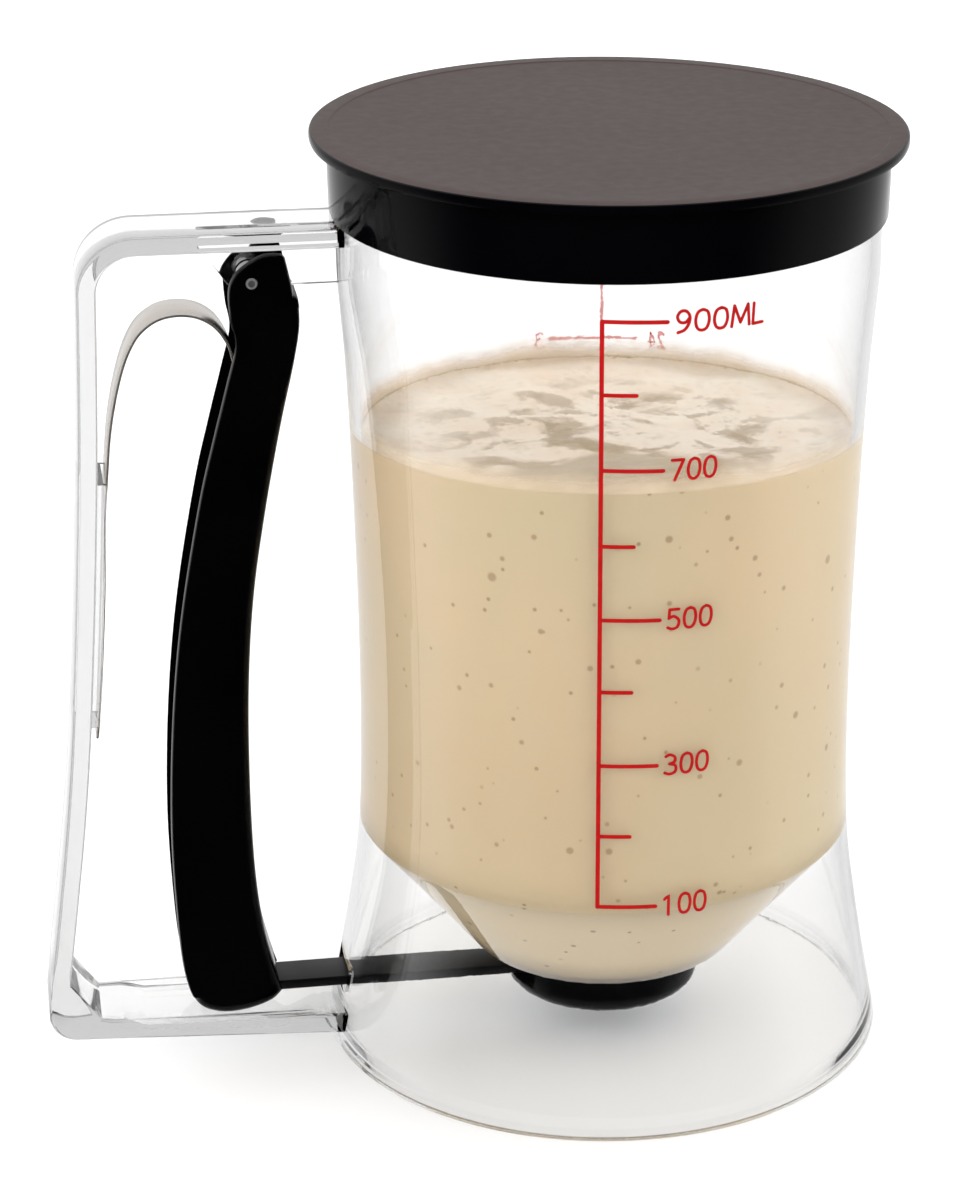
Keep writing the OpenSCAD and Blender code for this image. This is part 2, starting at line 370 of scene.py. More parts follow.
def bump(nt, p, fac, strength, dist, chain=None):
    b = node(nt, "ShaderNodeBump")
    b.inputs["Strength"].default_value = strength
    b.inputs["Distance"].default_value = dist
    nt.links.new(fac, b.inputs["Height"])
    if chain is not None:
        nt.links.new(chain, b.inputs["Normal"])
    nt.links.new(b.outputs[0], p.inputs["Normal"])
    return b.outputs[0]


def clear_plastic():
    m, nt, p, out = material("clear_plastic")
    p.inputs["Base Color"].default_value = (0.955, 0.955, 0.956, 1)
    p.inputs["Transmission Weight"].default_value = 1.0
    p.inputs["IOR"].default_value = 1.50
    v = coords(nt)
    nt.links.new(remap(nt, noise(nt, v, 60, 4), 0.0, 0.03), p.inputs["Roughness"])
    # the faint waviness of a moulded wall, and fine handling marks
    b = bump(nt, p, noise(nt, coords(nt, (1, 1, 0.35)), 22, 1.5), 0.10, 0.002)
    bump(nt, p, noise(nt, v, 900, 2), 0.010, 0.0005, b)
    # lamps and the light thrown about by matt surfaces pass straight through
    lp = node(nt, "ShaderNodeLightPath")
    last = p.outputs[0]
    for kind in ("Is Diffuse Ray", "Is Shadow Ray"):
        tr = node(nt, "ShaderNodeBsdfTransparent")
        tr.inputs["Color"].default_value = (0.945, 0.947, 0.949, 1)
        mix = node(nt, "ShaderNodeMixShader")
        nt.links.new(lp.outputs[kind], mix.inputs[0])
        nt.links.new(last, mix.inputs[1])
        nt.links.new(tr.outputs[0], mix.inputs[2])
        last = mix.outputs[0]
    nt.links.new(last, out.inputs[0])
    vol = node(nt, "ShaderNodeVolumeAbsorption")
    vol.inputs["Color"].default_value = (0.55, 0.55, 0.55, 1)
    vol.inputs["Density"].default_value = 42.0
    nt.links.new(vol.outputs[0], out.inputs["Volume"])
    return m


def black_plastic(name="black_plastic", rough=(0.16, 0.26), tone=(3, 3, 4), spec=0.45, spread=4):
    m, nt, p, out = material(name)
    v = coords(nt)
    t = srgb(*[c + spread for c in tone])
    nt.links.new(mixc(nt, remap(nt, noise(nt, v, 35, 4), 0, 1), srgb(*tone), t), p.inputs["Base Color"])
    nt.links.new(remap(nt, noise(nt, v, 120, 5), *rough), p.inputs["Roughness"])
    p.inputs["Specular IOR Level"].default_value = spec
    b = bump(nt, p, noise(nt, v, 40, 2), 0.06, 0.0015)
    bump(nt, p, noise(nt, v, 1800, 2), 0.02, 0.0003, b)
    return m


def lid_plastic():
    m, nt, p, out = material("lid_satin_painted_sheen")
    # painted reflection: the warm grey base colour stands in for the white backdrop's sheen on the black top; the lid
    # is the same black plastic as its skirt
    v = coords(nt)
    nt.links.new(mixc(nt, remap(nt, noise(nt, v, 18, 5), 0, 1), srgb(62, 51, 49), srgb(66, 55, 53)),
                 p.inputs["Base Color"])
    nt.links.new(remap(nt, noise(nt, v, 400, 4), 0.44, 0.50), p.inputs["Roughness"])
    p.inputs["Specular IOR Level"].default_value = 0.08
    b = bump(nt, p, noise(nt, v, 2600, 3), 0.035, 0.0002)
    bump(nt, p, noise(nt, v, 12, 1), 0.015, 0.0015, b)
    return m


def steel(name="spring_steel", axis=(1, 1, 1), metal=1.0, rough=(0.18, 0.32), a=(222, 214, 206), b=(240, 233, 226)):
    m, nt, p, out = material(name)
    v = coords(nt, axis)
    nt.links.new(mixc(nt, remap(nt, noise(nt, v, 55, 6, 0.7), 0, 1), srgb(*a), srgb(*b)), p.inputs["Base Color"])
    p.inputs["Metallic"].default_value = metal
    nt.links.new(remap(nt, noise(nt, v, 90, 5), *rough), p.inputs["Roughness"])
    bump(nt, p, noise(nt, v, 240, 3), 0.05, 0.0003)
    return m


def ink(name="red_ink", thin=0.0):
    m, nt, p, out = material(name)
    v = coords(nt)
    nt.links.new(mixc(nt, remap(nt, noise(nt, v, 500, 3), 0, 1), srgb(146, 1, 2), srgb(158, 3, 4)),
                 p.inputs["Base Color"])
    nt.links.new(remap(nt, noise(nt, v, 700, 3), 0.4, 0.55), p.inputs["Roughness"])
    p.inputs["Specular IOR Level"].default_value = 0.12
    bump(nt, p, noise(nt, v, 1500, 2), 0.08, 0.0001)
    if thin:
        # a thin film that lets part of the light through
        tr = node(nt, "ShaderNodeBsdfTransparent")
        tr.inputs["Color"].default_value = srgb(255, 214, 214)
        mix = node(nt, "ShaderNodeMixShader")
        mix.inputs[0].default_value = thin
        nt.links.new(p.outputs[0], mix.inputs[1])
        nt.links.new(tr.outputs[0], mix.inputs[2])
        nt.links.new(mix.outputs[0], out.inputs[0])
    return m


def batter_body():
    m, nt, p, out = material("batter")
    v = coords(nt)
    # painted shade: the batter darker from top to bottom; its tone also drifts at random in soft clouds
    sep = node(nt, "ShaderNodeSeparateXYZ")
    nt.links.new(v, sep.inputs[0])
    down = remap(nt, sep.outputs[2], 0, 1, 0.125, 0.03, "SMOOTHSTEP")
    c = mixc(nt, down, srgb(189, 165, 133), srgb(177, 156, 125))
    # painted light: the outlet cone lighter below about 50 mm, standing in for light thrown up from the table
    low = remap(nt, sep.outputs[2], 0, 1, 0.050, 0.036, "SMOOTHSTEP")
    cloud = remap(nt, noise(nt, coords(nt, (1, 1, 0.6)), 26, 4, 0.55, 0.4), 0, 1, 0.35, 0.68)
    c = mixc(nt, cloud, c, srgb(180, 163, 132))
    # painted light: the batter lighter towards its right side (+X)
    painted_light_right = remap(nt, sep.outputs[0], 0, 0.30, 0.008, 0.042, "SMOOTHSTEP")
    c = mixc(nt, painted_light_right, c, srgb(190, 177, 145))
    # the painted light on the cone goes on last
    c = mixc(nt, low, c, srgb(216, 195, 158))
    # pinhole bubbles, sparse and of several sizes
    for scale, size, keep, tone in ((230, 0.12, 0.8, (148, 127, 97)), (170, 0.12, 0.8, (152, 131, 101)), (120, 0.11, 0.6, (150, 129, 98)), (70, 0.08, 0.6, (154, 133, 103))):
        vo = node(nt, "ShaderNodeTexVoronoi")
        vo.inputs["Scale"].default_value = scale
        vo.inputs["Randomness"].default_value = 1.0
        nt.links.new(v, vo.inputs["Vector"])
        dot = remap(nt, vo.outputs["Distance"], 1, 0, size * 0.5, size, "SMOOTHSTEP")
        s = node(nt, "ShaderNodeSeparateColor")
        nt.links.new(vo.outputs["Color"], s.inputs[0])
        some = node(nt, "ShaderNodeMath", operation="LESS_THAN")
        nt.links.new(s.outputs[0], some.inputs[0])
        some.inputs[1].default_value = keep
        mul = node(nt, "ShaderNodeMath", operation="MULTIPLY")
        nt.links.new(dot, mul.inputs[0])
        nt.links.new(some.outputs[0], mul.inputs[1])
        c = mixc(nt, mul.outputs[0], c, srgb(*tone))
    nt.links.new(c, p.inputs["Base Color"])
    nt.links.new(remap(nt, noise(nt, v, 80, 3), 0.38, 0.55), p.inputs["Roughness"])
    p.inputs["Subsurface Weight"].default_value = 0.12
    p.inputs["Subsurface Radius"].default_value = (1.0, 0.7, 0.45)
    p.inputs["Subsurface Scale"].default_value = 0.0025
    p.inputs["Specular IOR Level"].default_value = 0.3
    bump(nt, p, noise(nt, v, 300, 3), 0.04, 0.0004)
    return m


def batter_foam():
    m, nt, p, out = material("batter_foam")
    v = coords(nt, (1, 1, 0.2))
    base = mixc(nt, remap(nt, noise(nt, v, 60, 5, 0.6, 0.6), 0, 1, 0.35, 0.65), srgb(255, 240, 220), srgb(250, 229, 205))
    # darker, wetter patches where the foam has opened, mostly towards the middle
    sep = node(nt, "ShaderNodeVectorMath", operation="DISTANCE")
    nt.links.new(v, sep.inputs[0])
    sep.inputs[1].default_value = (0.002, -0.008, 0.025)
    near = remap(nt, sep.outputs["Value"], 1.0, 0.15, 0.018, 0.046, "SMOOTHSTEP")
    for scale, lo, hi, tone, amount in ((74, 0.49, 0.60, (192, 169, 138), 0.8), (150, 0.53, 0.62, (186, 163, 131), 0.7)):
        patch = remap(nt, noise(nt, v, scale, 4, 0.55, 0.35), 0, amount, lo, hi, "SMOOTHSTEP")
        mul = node(nt, "ShaderNodeMath", operation="MULTIPLY")
        nt.links.new(patch, mul.inputs[0])
        nt.links.new(near, mul.inputs[1])
        base = mixc(nt, mul.outputs[0], base, srgb(*tone))
    # a smooth wet pool by the near wall
    pool = node(nt, "ShaderNodeVectorMath", operation="DISTANCE")
    nt.links.new(coords(nt, (1, 1.5, 0.0)), pool.inputs[0])
    pool.inputs[1].default_value = (-0.004, -0.051, 0.0)
    wob = node(nt, "ShaderNodeMath", operation="MULTIPLY_ADD")
    nt.links.new(noise(nt, v, 90, 3), wob.inputs[0])
    wob.inputs[1].default_value = 0.014
    nt.links.new(pool.outputs["Value"], wob.inputs[2])
    wet = remap(nt, wob.outputs[0], 0.85, 0.0, 0.024, 0.030, "SMOOTHSTEP")
    c = mixc(nt, wet, base, srgb(196, 175, 144))
    vo = node(nt, "ShaderNodeTexVoronoi")
    vo.inputs["Scale"].default_value = 420
    nt.links.new(v, vo.inputs["Vector"])
    c = mixc(nt, remap(nt, vo.outputs["Distance"], 0.25, 0, 0.10, 0.40, "SMOOTHSTEP"), c, srgb(214, 196, 166))
    nt.links.new(c, p.inputs["Base Color"])
    nt.links.new(remap(nt, wet, 0.5, 0.3, 0, 1), p.inputs["Roughness"])
    p.inputs["Subsurface Weight"].default_value = 0.1
    p.inputs["Subsurface Radius"].default_value = (1.0, 0.7, 0.45)
    p.inputs["Subsurface Scale"].default_value = 0.002
    p.inputs["Specular IOR Level"].default_value = 0.3
    b = bump(nt, p, vo.outputs["Distance"], 0.2, 0.0005)
    bump(nt, p, noise(nt, v, 110, 5, 0.6, 1.0), 0.4, 0.0012, b)
    return m


def batter_rim():
    m, nt, p, out = material("batter_rim")
    v = coords(nt)
    nt.links.new(mixc(nt, remap(nt, noise(nt, v, 140, 4), 0, 1), srgb(196, 176, 144), srgb(214, 194, 162)), p.inputs["Base Color"])
    nt.links.new(remap(nt, noise(nt, v, 300, 3), 0.3, 0.45), p.inputs["Roughness"])
    bump(nt, p, noise(nt, v, 400, 3), 0.15, 0.0003)
    return m


def batter_film():
    """What clings to the wall above the surface: thick at its foot, gone a few millimetres up."""
    m, nt, p, out = material("batter_film")
    v = coords(nt)
    nt.links.new(mixc(nt, remap(nt, noise(nt, v, 90, 4), 0, 1), srgb(213, 192, 161), srgb(229, 209, 181)), p.inputs["Base Color"])
    nt.links.new(remap(nt, noise(nt, v, 300, 3), 0.4, 0.55), p.inputs["Roughness"])
    bump(nt, p, noise(nt, v, 500, 3), 0.1, 0.0002)
    high = node(nt, "ShaderNodeVectorMath", operation="DOT_PRODUCT")
    nt.links.new(v, high.inputs[0])
    high.inputs[1].default_value = (0.0087, 0.0505, 1.0)
    wave = node(nt, "ShaderNodeMath", operation="MULTIPLY_ADD")
    nt.links.new(noise(nt, coords(nt, (1, 1, 0.3)), 38, 4, 0.6), wave.inputs[0])
    wave.inputs[1].default_value = -0.005
    nt.links.new(high.outputs["Value"], wave.inputs[2])
    clear = remap(nt, wave.outputs[0], 0.30, 1.0, 0.1222, 0.1278, "SMOOTHSTEP")
    tr = node(nt, "ShaderNodeBsdfTransparent")
    mix = node(nt, "ShaderNodeMixShader")
    nt.links.new(clear, mix.inputs[0])
    nt.links.new(p.outputs[0], mix.inputs[1])
    nt.links.new(tr.outputs[0], mix.inputs[2])
    nt.links.new(mix.outputs[0], out.inputs[0])
    return m


def silicone():
    m, nt, p, out = material("silicone")
    v = coords(nt)
    nt.links.new(mixc(nt, remap(nt, noise(nt, v, 90, 3), 0, 1), srgb(226, 226, 220), srgb(238, 238, 233)),
                 p.inputs["Base Color"])
    nt.links.new(remap(nt, noise(nt, v, 300, 3), 0.5, 0.65), p.inputs["Roughness"])
    bump(nt, p, noise(nt, v, 900, 2), 0.06, 0.0002)
    return m


M_CLEAR = clear_plastic()
M_BLACK = black_plastic("black_plastic", (0.16, 0.26), (1, 1, 2), 0.10, 2)
M_SKIRT = black_plastic("skirt_black", (0.05, 0.11), (1, 1, 2), 0.06, 2)
M_COLLAR = black_plastic("collar_black", (0.10, 0.18), (2, 2, 3), 0.10, 2)
M_GATE = black_plastic("gate_black", (0.30, 0.42), (8, 7, 7), 0.2, 4)
M_LID = lid_plastic()
M_STEEL = steel("spring_steel", (0.25, 1.6, 0.25), 0.88, (0.16, 0.28), (190, 183, 176), (208, 201, 194))
M_PIN = steel("pin_steel", (1, 1, 1), 0.55, (0.35, 0.5), (112, 112, 112), (142, 141, 140))
# painted shade: a darker copy of the pin steel for the dimpled pin ends, standing in for the shade in the recess
M_DIMPLE_SHADE = steel("pin_dimple_painted_shade", (1, 1, 1), 0.3, (0.45, 0.6), (44, 44, 44), (78, 77, 76))
M_INK = ink()
M_INK_THIN = ink("red_ink_thin", 0.76)
M_BATTER = batter_body()
M_FOAM = batter_foam()
M_RIM = batter_rim()
M_FILM = batter_film()
M_SEAL = silicone()

# ------------------------------------------------------- the clear body -----
OUT_CTL = [(55.4, 0), (52.9, 13), (50.7, 26), (49.0, 38), (48.2, 50), (47.9, 66), (48.0, 86),
           (48.4, 104), (48.9, 121), (49.6, 138), (50.4, 149), (51.0, 158), (51.0, 170), (51.0, 181)]
OUTER = smooth(OUT_CTL, 8)
OUTER[:, 0] = np.minimum(OUTER[:, 0], np.where(OUTER[:, 1] > 150, 51.0, 99))


def Ro(z):
    return float(np.interp(z, OUTER[:, 1], OUTER[:, 0]))


CONE = 0.795
cone_out = lambda z: 25.8 + CONE * (z - 18)
OFF = 2.0 * math.sqrt(1 + CONE * CONE)
cone_in = lambda z: cone_out(z) - OFF
BATTER_Z = 126.0


def inner_profile(z_top):
    """Inside of the cup from z_top down to the outlet, [r, z]."""
    zs = [z for z in OUTER[::-1, 1] if 53 < z < z_top]
    P = [(Ro(z_top) - 2, z_top)] + [(Ro(z) - 2, z) for z in zs]
    ri = Ro(47) - 2
    zc = (ri + OFF - 25.8) / CONE + 18           # where the inside cone meets the wall
    P += list(bez((Ro(zc + 3.5) - 2, zc + 3.5), (ri, zc), (cone_in(zc - 3.0), zc - 3.0), 6))
    P += [(cone_in(z), z) for z in np.linspace(zc - 5, 29.0, 6)]
    P += list(bez((cone_in(27.5), 27.5), (cone_in(20.6), 20.6), (cone_in(20.6) - 9.5, 20.1), 8))
    P += [(11.0, 19.5), (7.5, 19.2)]
    return P


def jug_profile():
    P = [(x, z) for x, z in OUTER if z < 180.2]
    P[0] = (55.0, 0.0)
    P.insert(1, (55.3, 0.35))
    P += [(51.0, 180.3), (50.75, 180.75), (50.3, 180.95), (49.7, 180.95), (49.25, 180.75), (49.0, 180.3)]
    P += [p for p in inner_profile(179.0)]
    P += [(5.9, 19.2), (5.4, 18.8), (5.4, 17.2), (5.2, 17.0), (5.2, 15.0), (11.9, 15.0), (11.9, 13.6), (12.1, 13.4),
          (14.6, 13.4), (15.0, 13.8), (15.0, 16.7), (15.5, 17.2), (19.0, 17.2)]
    P += list(bez((cone_out(17.2) - 3.0, 17.2), (cone_out(17.2), 17.2), (cone_out(19.6), 19.6), 5))
    P += [(cone_out(z), z) for z in np.linspace(22, 38, 6)]
    P += [(cone_out(z), z) for z in (40.5, 42.4, 43.3)]
    P += [(Ro(44.1) - 2.02, 44.15)]
    P += [(Ro(z) - 2, z) for z in (42.5, 41.0, 38.8)]
    P += [(Ro(z) - 2, z) for z in np.arange(36.5, 5.5, -2.2)]
    P += [(Ro(4.4) - 2, 4.4), (52.6, 3.6), (52.6, 0.5), (53.0, 0.0)]
    return P


jug = lathe("jug_clear", jug_profile(), 224)

# handle: one bar that runs out under the lid, down the grip and back to the stand
CC, CRAD = (88.4, 156.7), 10.8
grip_ctl = [(99.2, 156.7), (99.5, 146), (100.2, 127), (101.3, 107), (102.7, 86), (104.2, 67),
            (106.0, 50), (108.2, 33), (110.0, 20), (111.0, 12.6)]
GRIP = smooth(grip_ctl, 4)
grip_u = lambda z: float(np.interp(z, GRIP[::-1, 1], GRIP[::-1, 0]))
O, I, W = [], [], []
for u in (49.6, 52, 60, 70, 80, 86):
    O.append((u, 167.5)); I.append((u, 163.9)); W.append(8.2)
for p, q in zip(arc(CC, CRAD, 90, 4, 14), arc(CC, CRAD - 3.6, 90, 4, 14)):
    O.append(p); I.append(q); W.append(8.2)
d = np.gradient(GRIP, axis=0)
nrm = np.stack([-d[:, 1], d[:, 0]], 1) / np.linalg.norm(d, axis=1)[:, None]
for p, n in zip(GRIP, nrm):
    if 19.0 < p[1] < 155.0:
        O.append(p); I.append(p - n * 3.6); W.append(8.2)
# the lower corner is braced: its inner side runs straight from the bar to the arm
turn = np.linspace(14, -90, 16)
brace = [(106.75 - 5.75 * k / 15, 17.3 - 7.95 * k / 15) for k in range(16)]
for a, q in zip(turn, brace):
    O.append(np.array((105.8, 10.4)) + 5.3 * np.array((math.cos(math.radians(a)), math.sin(math.radians(a)))))
    I.append(q)
    W.append(8.2)
for u in np.linspace(99.5, 52.62, 12):
    k = (u - 50) / 55.9
    O.append((u, 3.3 + 1.8 * (u - 45) / 60.9)); I.append((u, 7.6 + 1.8 * (u - 45) / 60.9))
    W.append(11.0 - 2.8 * k)
handle = ribbon("handle_bar", O, I, W, 0.75, 4)
rib = slab("rib", rounded([(49.9, 164.6), (49.9, 155.3), (71.0, 155.3), (77.2, 164.6)], (0, 0, 1.2, 0)), -1.0, 1.0, 0.25)
boss = cross_cyl("boss", (67.4, 157.8), 2.5, 11.4, 40, 0.2)
zz = np.linspace(71, 120, 18)
base = [(grip_u(z) - 3.2, z) for z in zz]
pad = slab("pad", rounded(base + [(grip_u(z) - 4.8, z) for z in zz[::-1]], 0.35, 2), -6.5, 6.5, 0.25)
rails = [slab("rail", rounded(base + [(grip_u(z) - 5.3, z) for z in zz[::-1]], 0.35, 2), y - 0.55, y + 0.55, 0.2)
         for y in (-5.95, 5.95)]
lugs = [plan("lug", rounded([(-2.2, s * 14.0), (2.2, s * 14.0), (2.2, s * 16.8), (-2.2, s * 16.8)], 0.3), 14.0, 15.4, 0.2)
        for s in (1, -1)]
boolean(jug, [handle, rib, boss, pad, *rails, *lugs], "UNION")
arm_z = lambda u: 7.6 + 1.8 * (u - 45) / 60.9
chan = slab("channel", [(64, arm_z(64) - 1.4), (92, arm_z(92) - 1.4), (97, arm_z(97) + 0.05), (97, 14), (58.5, 14),
                        (58.5, arm_z(58.5) + 0.05)], -8.1, 8.1, 0)
boolean(jug, [chan], "DIFFERENCE")
slotbox = [(-6.7, 9.8), (6.7, 9.8), (6.7, 15.4), (-6.7, 15.4)]
cut = slab("slot", rounded([(y, z) for y, z in slotbox], 1.6), -62, -42, 0)
# turn the cutter so that it runs along X
cut.data.transform(Matrix.Rotation(math.pi / 2, 4, "Z"))
lo = min(v.co.x for v in cut.data.vertices)
if lo > 0:
    cut.data.transform(Matrix.Rotation(math.pi, 4, "Z"))
boolean(jug, [cut], "DIFFERENCE")
tidy(jug)
finish_mesh(jug, M_CLEAR, 28, "jug",
            ["cup_wall", "funnel", "stand_skirt", "outlet_neck", "handle_top_arm", "handle_grip_bar",
             "handle_lower_arm", "handle_gusset", "pivot_rib", "spring_guide"])

# ---------------------------------------------------------- the batter ------
rng = random.Random(7)


def batter():
    side = [(r + 0.08, z) for r, z in inner_profile(BATTER_Z + 0.55)]
    side += [(5.45, 18.9), (5.2, 16.0), (4.95, 14.6), (4.95, 13.12), (0, 13.12)]
    N = 256
    rw = Ro(BATTER_Z) - 2
    top = []
    # meniscus, then a gently lumpy foam surface
    for t in np.linspace(0, 1, 9)[1:]:
        top.append((rw - 0.02 - 2.6 * t, BATTER_Z + 0.55 * (1 - t) ** 2.2))
    rr = list(np.linspace(rw - 2.62, 1.0, 60)[1:])
    prof = [(0, BATTER_Z)] + [(r, BATTER_Z) for r in rr[::-1]] + top[::-1] + side
    o = lathe("batter_fill", prof, N, closed=False)
    ph = [(rng.uniform(0.05, 0.5), rng.uniform(0, 6.28), rng.uniform(0, 6.28)) for _ in range(22)]
    foam, rim = [], []
    for f in o.data.polygons:
        c = f.center
        r = math.hypot(c.x, c.y)
        if c.z > BATTER_Z - 0.5 and r < rw - 0.35:
            foam.append(f.index)
        elif c.z > BATTER_Z + 0.30:
            rim.append(f.index)
    for v in o.data.vertices:
        r = math.hypot(v.co.x, v.co.y)
        if v.co.z > BATTER_Z - 0.01 and r < rw - 0.1:
            h = 0.0
            for k, a, b in ph:
                h += 0.10 * math.sin(k * (v.co.x * math.cos(a) + v.co.y * math.sin(a)) + b)
            v.co.z += h * min(1.0, (rw - r) / 3.0)
        # the thick batter hasn't settled level: lower at the far wall
        w = min(1.0, max(0.0, (v.co.z - 104.0) / (BATTER_Z - 104.0)))
        v.co.z -= w * (0.9 + 2.4 * (0.17 * v.co.x + 0.985 * v.co.y) / rw)
    finish_mesh(o, [M_BATTER, M_FOAM, M_RIM], 50, "jug")
    for i in foam:
        o.data.polygons[i].material_index = 1
    for i in rim:
        o.data.polygons[i].material_index = 2
    return o


BATTER = batter()


def film():
    zs = np.linspace(BATTER_Z + 0.56, BATTER_Z + 5.5, 12)
    prof = [(Ro(z) - 2 - 0.02, z) for z in zs] + [(Ro(z) - 2 - 0.14, z) for z in zs[::-1]]
    o = lathe("batter_film", prof, 192)
    rw = Ro(BATTER_Z) - 2
    for v in o.data.vertices:
        low = 0.9 + 2.4 * (0.17 * v.co.x + 0.985 * v.co.y) / rw
        v.co.z -= low
        r = math.hypot(v.co.x, v.co.y)
        k = (r - (Ro(v.co.z + low) - Ro(v.co.z))) / r
        v.co.x, v.co.y = v.co.x * k, v.co.y * k
    finish_mesh(o, M_FILM, 50, "jug")
    return o


film()

# ------------------------------------------------------ printed scales ------
GLYPH = {
    "0": [[(0.5, 1.0), (0.18, 0.88), (0.04, 0.5), (0.16, 0.12), (0.48, 0.0), (0.80, 0.12), (0.94, 0.5), (0.82, 0.88), (0.5, 1.0)]],
    "1": [[(0.14, 0.80), (0.46, 1.0), (0.46, 0.0)]],
    "2": [[(0.08, 0.80), (0.30, 0.99), (0.66, 0.99), (0.86, 0.76), (0.76, 0.50), (0.08, 0.02)], [(0.08, 0.02), (0.92, 0.02)]],
    "3": [[(0.10, 0.92), (0.42, 1.0), (0.80, 0.86), (0.78, 0.62), (0.40, 0.53)], [(0.40, 0.53), (0.86, 0.42), (0.88, 0.12), (0.46, 0.0), (0.06, 0.08)]],
    "4": [[(0.70, 0.0), (0.70, 1.0)], [(0.70, 1.0), (0.06, 0.30)], [(0.06, 0.30), (0.94, 0.30)]],
    "5": [[(0.86, 0.98), (0.16, 0.98)], [(0.16, 0.98), (0.12, 0.55)], [(0.12, 0.55), (0.50, 0.63), (0.88, 0.42), (0.80, 0.10), (0.42, 0.0), (0.06, 0.08)]],
    "6": [[(0.78, 0.98), (0.30, 0.80), (0.08, 0.36), (0.26, 0.04), (0.66, 0.02), (0.88, 0.28), (0.70, 0.52), (0.34, 0.52), (0.10, 0.30)]],
    "7": [[(0.06, 0.98), (0.92, 0.98)], [(0.92, 0.98), (0.30, 0.0)]],
    "8": [[(0.5, 0.54), (0.16, 0.72), (0.24, 0.96), (0.5, 1.0), (0.78, 0.94), (0.84, 0.72), (0.5, 0.54), (0.08, 0.30), (0.20, 0.04), (0.5, 0.0), (0.82, 0.04), (0.92, 0.30), (0.5, 0.54)]],
    "9": [[(0.90, 0.66), (0.62, 0.44), (0.26, 0.48), (0.10, 0.74), (0.30, 0.98), (0.66, 0.98), (0.90, 0.72), (0.84, 0.36), (0.58, 0.08), (0.16, -0.04)]],
    "M": [[(0.0, 0.0), (0.14, 1.0)], [(0.14, 1.0), (0.56, 0.16)], [(0.56, 0.16), (1.02, 1.0)], [(1.02, 1.0), (1.14, 0.0)]],
    "L": [[(0.16, 1.0), (0.12, 0.0)], [(0.12, 0.0), (0.82, 0.02)]],
    "/": [[(0.1, -0.05), (0.8, 1.05)]],
}
CURVED = "0235689"


def stroke_stations(pts, w, curved):
    P = smooth(pts, 8) if curved and len(pts) > 2 else None
    if P is None:
        P = []
        for a, b in zip(pts[:-1], pts[1:]):
            n = max(2, int(math.dist(a, b) / 0.8))
            P += [np.array(a) + (np.array(b) - np.array(a)) * k / n for k in range(n)]
        P = np.array(P + [np.array(pts[-1], float)])
    d = np.gradient(P, axis=0)
    d /= np.maximum(np.linalg.norm(d, axis=1)[:, None], 1e-9)
    out = []
    for k in range(4):
        a = math.pi / 2 * (1 - k / 4)
        out.append((P[0] - d[0] * (w / 2) * math.sin(a), d[0], max(0.02, (w / 2) * math.cos(a))))
    out += [(p, t, w / 2) for p, t in zip(P, d)]
    for k in range(1, 5):
        a = math.pi / 2 * k / 4
        out.append((P[-1] + d[-1] * (w / 2) * math.sin(a), d[-1], max(0.02, (w / 2) * math.cos(a))))
    return out


def strokes_to_mesh(name, strokes, az_sign, w_default):
    """strokes: [(points [azimuth arc in mm, z], width, curved)] wrapped on the outside of the jug."""
    verts, faces = [], []
    for pts, w, curved in strokes:
        rows = []
        for c, t, h in stroke_stations(pts, w or w_default, curved):
            n = np.array([-t[1], t[0]])
            row = []
            for s in (1, -1):
                q = c + n * h * s
                for lift in (0.07, -0.06):
                    R = Ro(q[1]) + lift
                    a = q[0] / Ro(q[1])
                    row.append(len(verts))
                    verts.append(az_sign(a, R, q[1]))
            rows.append(row)
        for A, B in zip(rows[:-1], rows[1:]):
            # left-top, left-low, right-top, right-low
            faces += [(A[0], B[0], B[2], A[2]), (A[1], A[3], B[3], B[1]), (A[0], A[1], B[1], B[0]), (A[2], B[2], B[3], A[3])]
        for R_ in (rows[0], rows[-1]):
            faces.append((R_[0], R_[2], R_[3], R_[1]))
    return make(name, verts, faces)


def text_strokes(s, x, z, h, adv, w, slant=0.0):
    out = []
    for ch in s:
        width = adv * (0.80 if ch not in "M" else 0.88)
        for g in GLYPH[ch]:
            out.append(([(x + p[0] * width + slant * p[1] * h, z + p[1] * h) for p in g], w, ch in CURVED and len(g) > 2))
        x += adv * (1.12 if ch == "M" else 1.0)
    return out


ML_Z = {100: 46.3, 200: 60.6, 300: 74.9, 400: 89.7, 500: 104.0, 600: 118.4, 700: 133.0, 800: 147.4, 900: 161.1}
mm = lambda deg, z: math.radians(deg) * Ro(z)
front = [([(mm(-11.5, z), z) for z in np.linspace(161.1, 46.3, 60)], 0.82, True)]
for v, z in ML_Z.items():
    if v % 200 == 100:
        front.append(([(mm(-11.5, z), z), (mm(1.4, z), z - 0.30)], 0.74, False))
        label = "900ML" if v == 900 else str(v)
        front += text_strokes(label, mm(3.0, z), z - 2.2, 3.75 if v == 900 else 3.9, 3.5 if v == 900 else 3.08, 0.56, 0.02)
    else:
        front.append(([(mm(-11.5, z), z), (mm(-4.5, z), z - 0.14)], 0.74, False))
o = strokes_to_mesh("scale_front", front, lambda a, R, z: (R * math.sin(a), -R * math.cos(a), z), 0.6)
finish_mesh(o, M_INK, 40, "jug")

